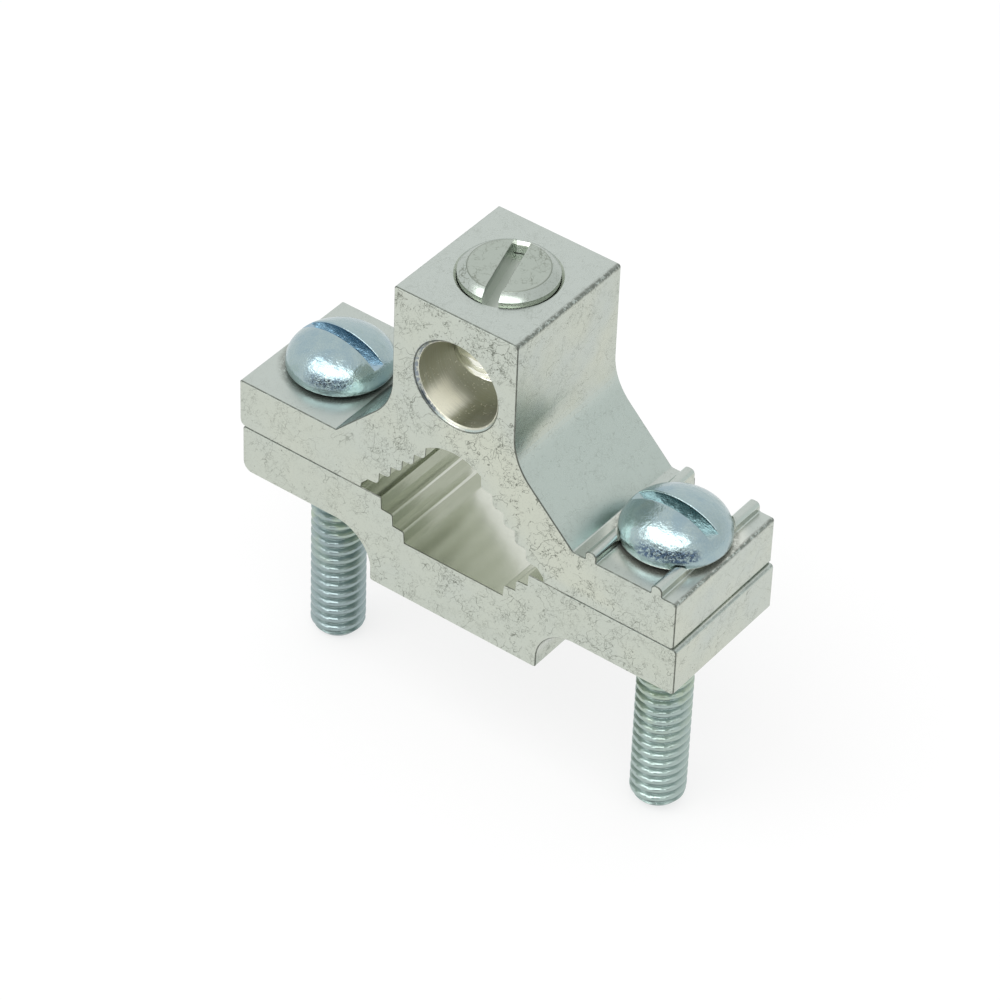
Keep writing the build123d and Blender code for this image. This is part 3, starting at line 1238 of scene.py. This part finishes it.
@dataclass(kw_only=True)
class ConductorScrew(SlottedScrew):
    """Headless aluminium screw, slotted right across, whose end reaches into the bore.

    Its own origin is in the flat on its top.
    """

    thread: Thread = field(default_factory=lambda: Thread(depth=0.5))
    x: float = -0.25
    y: float = 0.15
    top: float = 30.95
    radius: float = 5.5
    collar: float = 5.46
    collar_top: float = -1.7
    brow_radius: float = 5.5
    length: float = 11.95
    flat: float = 4.45
    chamfer: float = 0.72
    bulge: float = 0.07
    end_radius: float = 4.95
    end_chamfer: float = 0.6
    thread_fade: float = 1.5
    collar_fade: float = 1.0
    slot_half: float = 0.925
    slot_back: float = -0.15
    slot_depth: float = 2.6
    slot_turn: float = -72.7
    edge_round: float = 0.12
    edge_fade: float = 0.8
    sharp: float = 35.0
    end_steps: int = 8

    @property
    def floor(self) -> float:
        """Height of the slot's floor, below the flat."""
        return -self.slot_depth

    @property
    def ring(self) -> float:
        """Radius of the collar, which the slot's floor is level with."""
        return self.collar

    def shaft(self) -> Grid:
        """End face, end chamfer and threaded side up to the slot's floor, all round.

        The groove fades out and the side draws in to the collar below the slot.

        Returns:
            Rows of points, from the end up.
        """
        turn = self.turns()[None, :]
        bottom = -self.length
        end_r = np.array([0.0, 1.6, 3.2, 4.5, 4.8, self.end_radius])
        end_z = bottom + np.array([0.0, 0.0, 0.0, 0.0, 0.02, 0.08])
        run_z = np.append(self.thread.heights(bottom + 0.16, self.floor), self.floor)
        slope = (self.radius - self.end_radius) / self.end_chamfer
        run_r = np.minimum(self.end_radius + (run_z - bottom - 0.06) * slope, self.radius)
        drawn = smooth_step(self.floor - self.collar_fade, self.floor, run_z)
        run_r -= (self.radius - self.collar) * drawn
        radius = np.concatenate([end_r, run_r])[:, None]
        height = np.concatenate([end_z, run_z])[:, None]
        share = 1.0 - smooth_step(self.floor - self.thread_fade, self.floor, height)
        grooved = self.radius - share * self.thread.groove(turn, height)
        threaded = height > bottom + 0.1
        return around(turn, np.where(threaded, np.minimum(radius, grooved), radius), height)

    def brow(self) -> tuple[Grid, Grid]:
        """Rows from the slot's floor to the edge of the flat.

        The collar goes up, swells to the brow, and a slightly rounded slope leads to a
        fine groove round the flat.

        Returns:
            Radius and height of every row.
        """
        share = np.linspace(0.0, 1.0, 7)
        slope_r = self.brow_radius + (self.flat + 0.08 - self.brow_radius) * share
        rise = self.bulge * np.sin(math.pi * share)
        slope_z = -self.chamfer + (self.chamfer - 0.03) * share + rise
        under_r = [self.collar, self.collar, self.collar + 0.03, self.brow_radius - 0.04]
        under_z = [self.floor, self.collar_top, -self.chamfer - 0.32, -self.chamfer - 0.12]
        radius = np.array([*under_r, *slope_r, self.flat + 0.04, self.flat])
        return radius, np.array([*under_z, *slope_z, -0.05, 0.0])

    def head_side(self, wall: float) -> Grid:
        """Side, brow, half of the flat and one wall of the slot.

        Rows go up the side and over the brow on turns that keep the slot's edges
        straight, then blend from the flat's rim to the slot's edge, round it with a
        quarter circle and go down the wall, whose ends follow the same brow.

        Args:
            wall: Distance from the axis to the slot's wall on this side.

        Returns:
            Rows of points, for the side towards +Y.
        """
        brow = list(zip(*self.brow()))
        rows = [around(self.side_turns(wall, r), r, z) for r, z in brow]
        rim = rows[-1]
        reach = rim[0, 0]
        x = reach * self.columns
        soft = self.edge_round * smooth_step(0.0, self.edge_fade, reach - np.abs(x))
        edge = np.stack([x, wall + soft, 0.0 * x], axis=-1)
        rows += [rim * (1.0 - share) + edge * share for share in np.linspace(0.0, 1.0, 9)[1:]]
        rows += list(self.round_edge(x, wall, soft, 0.0 * x))
        for r, z in brow[-2::-1]:
            end = self.columns * math.sqrt(r * r - wall**2)
            rows.append(np.stack([end, 0.0 * x + wall, np.minimum(z, -soft)], axis=-1))
        return np.stack(rows)

    def build(self, finish: TurnedAluminium) -> bpy.types.Object:
        """Make the screw and let it stand for its CAD node.

        Args:
            finish: Its metal.

        Returns:
            The piece.
        """
        piece = self.assemble("conductor_screw_threaded", self.top)
        finish.dress(piece, self)
        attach(piece, "conductor_screw")
        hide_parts("conductor_screw")
        LOG.info("%s: %d faces", piece.name, len(piece.data.polygons))
        return piece


@dataclass
class Jaws:
    """The two extruded jaws, kept as the frame gives them and dressed."""

    half_length: float = 29.35
    flange: float = 6.3
    lug_left: float = -8.35
    lug_right: float = 7.85
    lug_top: float = 29.8
    lower_shift: float = 0.4
    lower_flange: float = 6.25

    def corners(self) -> dict[str, tuple[CornerLine, ...]]:
        """Find the edges painted dark.

        Returns:
            The edges of each jaw, by its name.
        """
        right = self.half_length + self.lower_shift
        left = self.lower_shift - self.half_length
        upper = (
            CornerLine(self.lug_right, self.lug_top, 0.62, 0.80),
            CornerLine(self.lug_left, self.lug_top, 0.32, 0.6),
            CornerLine(self.half_length, self.flange, 0.55, 0.75),
            CornerLine(-self.half_length, self.flange, 0.25, 0.4),
            CornerLine(self.half_length, 0.0, 0.35, 0.6),
            CornerLine(-self.half_length, 0.0, 0.35, 0.6),
        )
        lower = (
            CornerLine(right, 0.0, 0.35, 0.6),
            CornerLine(right, -self.lower_flange, 0.4, 0.5),
            CornerLine(left, 0.0, 0.35, 0.6),
        )
        return {"upper_jaw": upper, "lower_jaw": lower}

    def dress(self, finish: TinnedAluminium) -> None:
        """Give both jaws their finish.

        Args:
            finish: Their plate.
        """
        for name, corners in self.corners().items():
            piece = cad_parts[name]
            finish.dress(piece, corners)
            LOG.info("%s: %d faces", name, len(piece.data.polygons))


@dataclass(frozen=True)
class SoftLight:
    """A studio light that looks at the middle of the clamp."""

    name: str
    azimuth: float
    elevation: float
    distance: float
    size: Pair
    power: float

    def build(self) -> None:
        """Make the light."""
        data = bpy.data.lights.new(self.name, "AREA")
        data.shape = "RECTANGLE"
        data.size, data.size_y = self.size
        data.energy = self.power
        lamp = add_object(self.name, data)
        away = direction(self.azimuth, self.elevation)
        lamp.location = away * self.distance
        lamp.rotation_euler = away.to_track_quat("Z", "Y").to_euler()


def direction(azimuth: float, elevation: float) -> Vector:
    """Unit vector away from the clamp; azimuth 0 is the front and 90 is along +X."""
    a, e = math.radians(azimuth), math.radians(elevation)
    return Vector((math.sin(a) * math.cos(e), -math.cos(a) * math.cos(e), math.sin(e)))


@dataclass
class Studio:
    """Pale floor, soft lights, white surroundings and the photograph's camera."""

    floor_height: float = -31.86
    floor_half: float = 1500.0
    lights: tuple[SoftLight, ...] = (
        SoftLight("overhead_front", 2.0, 62.0, 0.62, (0.85, 0.36), 2.3),
    )
    card: float = 26.0
    card_side: Span = (0.62, 0.80)
    card_top: Span = (0.62, 0.48)
    card_dark: float = 0.82
    flank: Pair = (133.0, 26.0)
    flank_side: Span = (0.55, 0.95)
    flank_dark: float = 0.10
    flag_start: Span = (0.10, 0.20)
    flag_side: Span = (0.9, 0.5)
    flag_dark: float = 0.65
    floor_paint: Colour = (0.86, 0.86, 0.86)
    floor_glow: float = 0.72
    azimuth: float = 35.717
    elevation: float = 40.619
    roll: float = 2.227
    distance: float = 519.79
    lens: float = 172.29
    shift: Pair = (-0.183, 1.026)
    frame_offset: float = 0.45

    def camera(self) -> None:
        """Stand the camera where the photograph was taken from."""
        away = direction(self.azimuth, self.elevation)
        a, roll = math.radians(self.azimuth), math.radians(self.roll)
        level = Vector((math.cos(a), math.sin(a), 0.0))
        upright = away.cross(level)
        across = math.cos(roll) * level + math.sin(roll) * upright
        upward = math.cos(roll) * upright - math.sin(roll) * level
        eye = away * self.distance - self.shift[0] * across - self.shift[1] * upward
        eye -= Vector((self.frame_offset, 0.0, 0.0))
        data = bpy.data.cameras.new("camera")
        data.lens = self.lens
        data.sensor_width = 36.0
        data.clip_start, data.clip_end = 0.05, 20.0
        camera = add_object("camera", data)
        axes = Matrix((across, upward, away)).transposed().to_4x4()
        camera.matrix_world = Matrix.Translation(eye * MM) @ axes
        bpy.context.scene.camera = camera

    def floor(self) -> None:
        """Pale floor that keeps the clamp's shadow and looks white around it."""
        side, height = self.floor_half * MM, self.floor_height * MM
        mesh = bpy.data.meshes.new("floor")
        corners = [(-side, -side), (side, -side), (side, side), (-side, side)]
        mesh.from_pydata([(x, y, height) for x, y in corners], [], [(0, 1, 2, 3)])
        piece = add_object("floor", mesh)
        material, bench = new_material("pale_floor")
        paint = bench.node("ShaderNodeBsdfDiffuse", {}, {"Color": self.floor_paint})
        glow = bench.node("ShaderNodeEmission", {}, {"Color": (1.0, 1.0, 1.0), "Strength": 1.0})
        lights = bench.node("ShaderNodeLightPath", {}, [], "Is Camera Ray")
        glossy, clear = lights.sibling("Is Glossy Ray"), lights.sibling("Is Transmission Ray")
        x, y, _ = bench.split(bench.place())
        aim = direction(self.card, 0.0)
        ahead = x * aim.x + y * aim.y
        beside = abs(x * aim.y - y * aim.x)
        flag = ahead.step(*self.flag_start) * (beside / ahead.upper(0.01)).step(*self.flag_side)
        seen = lights.upper(glossy * (1.0 - flag * self.flag_dark)).upper(clear)
        shader = bench.node("ShaderNodeMixShader", {}, [seen * self.floor_glow, paint, glow])
        bench.node("ShaderNodeOutputMaterial", {}, [shader])
        mesh.materials.append(material)

    def surroundings(self) -> None:
        """White all round, with a darker card low in front that the domes show."""
        world = bpy.data.worlds.new("studio")
        bpy.context.scene.world = world
        world.use_nodes = True
        bench = Bench(world.node_tree)
        aim = bench.node("ShaderNodeTexCoord", {}, [], "Generated")
        near = bench.vector(Operation.DOT_PRODUCT, [aim, direction(self.card, 0.0)], 1)
        side = bench.vector(Operation.DOT_PRODUCT, [aim, direction(*self.flank)], 1)
        dark = near.step(*self.card_side) * bench.split(aim)[2].step(*self.card_top)
        lights = bench.node("ShaderNodeLightPath", {}, [], "Is Camera Ray")
        shade = (dark * self.card_dark).upper(side.step(*self.flank_side) * self.flank_dark)
        shown = 1.0 - shade * (1.0 - lights)
        colour = bench.mix(shown, (0.0, 0.0, 0.0), (1.0, 1.0, 1.0))
        back = bench.node("ShaderNodeBackground", {}, {"Color": colour, "Strength": 1.0})
        bench.node("ShaderNodeOutputWorld", {}, [back])

    def build(self) -> None:
        """Make the floor, the lights, the surroundings and the camera."""
        self.floor()
        for light in self.lights:
            light.build()
        self.surroundings()
        self.camera()
        bpy.context.scene.view_settings.view_transform = "Standard"
        LOG.info("studio ready")


def main() -> None:
    """Build the pieces in order, then the studio, and note the sizes."""
    logging.basicConfig(level=logging.INFO, format="%(message)s")
    Jaws().dress(TinnedAluminium())
    blue = ZincPlate(
        slot=(0.36, 0.48, 0.56),
        # Darker thread on the blue screw: painted shade under the jaw.
        thread=(0.315, 0.395, 0.40),
        under=(0.37, 0.45, 0.45),
        dark_reflection=0.6,
        dark_reflection_reach=0.84,
    )
    teal = ZincPlate(
        slot=(0.375, 0.475, 0.485),
        thread=(0.405, 0.50, 0.465),
        # Near-white underside on the teal screw: painted light under its head.
        under=(0.93, 0.95, 0.94),
        dark_reflection=0.95,
        dark_reflection_reach=0.76,
    )
    left = {"x": -22.4, "seat": 6.3, "slot_turn": -4.0, "slot_back": 0.27}
    right = {"x": 22.8, "seat": 6.85, "slot_turn": -1.0, "slot_back": -0.45}
    ClampScrew(body="clamp_screw_left", rim=6.12, undercut=0.45, **left).build(blue)
    ClampScrew(body="clamp_screw_right", rim=6.18, undercut=0.02, **right).build(teal)
    ConductorScrew().build(TurnedAluminium())
    Studio().build()


if __name__ == "__main__":
    main()
